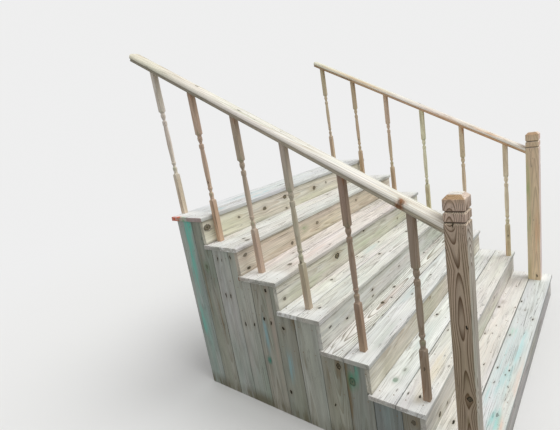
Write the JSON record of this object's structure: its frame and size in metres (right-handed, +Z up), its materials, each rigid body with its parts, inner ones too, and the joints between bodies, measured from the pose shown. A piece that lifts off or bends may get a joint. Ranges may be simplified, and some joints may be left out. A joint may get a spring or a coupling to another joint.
{
  "type": "wooden deck stairs",
  "caption": "Wide closed-riser wooden porch stairs with board treads, boarded sides, grooved newel posts, turned spindles and sloping handrails, on notched stringers.",
  "frame": {"origin": "on the ground, in the middle of the width and of the overall length", "axes": "+Z up; +Y the way the stairs climb, towards the porch; +X to the right as one climbs"},
  "size_m": [2.092, 1.9556, 2.2429],
  "materials": {
    "tread_boards": "bare treated wood, matt",
    "riser_boards": "bare treated wood, matt",
    "skirt_boards": "bare treated wood, matt",
    "frame_lumber": "bare treated wood, matt",
    "handrail_wood": "bare treated wood, matt",
    "newel_wood": "bare treated wood, matt",
    "baluster_wood": "bare treated wood, matt"
  },
  "bodies": {
    "root": {"tread_1": "tread_boards", "tread_2": "tread_boards", "tread_3": "tread_boards", "tread_4": "tread_boards", "tread_5": "tread_boards", "tread_6": "tread_boards", "tread_7": "tread_boards", "riser_1": "riser_boards", "riser_2": "riser_boards", "riser_3": "riser_boards", "riser_4": "riser_boards", "riser_5": "riser_boards", "riser_6": "riser_boards", "riser_7": "riser_boards", "stringer_1": "frame_lumber", "stringer_2": "frame_lumber", "stringer_3": "frame_lumber", "stringer_4": "frame_lumber", "stringer_5": "frame_lumber", "stringer_6": "frame_lumber", "header": "frame_lumber", "left_skirt": "skirt_boards", "left_skirt_nailer": "frame_lumber", "left_newel": "newel_wood", "left_handrail": "handrail_wood", "left_baluster_1": "baluster_wood", "left_baluster_2": "baluster_wood", "left_baluster_3": "baluster_wood", "left_baluster_4": "baluster_wood", "left_baluster_5": "baluster_wood", "left_baluster_6": "baluster_wood", "right_skirt": "skirt_boards", "right_skirt_nailer": "frame_lumber", "right_newel": "newel_wood", "right_handrail": "handrail_wood", "right_baluster_1": "baluster_wood", "right_baluster_2": "baluster_wood", "right_baluster_3": "baluster_wood", "right_baluster_4": "baluster_wood", "right_baluster_5": "baluster_wood", "right_baluster_6": "baluster_wood"}
  },
  "joints": []
}
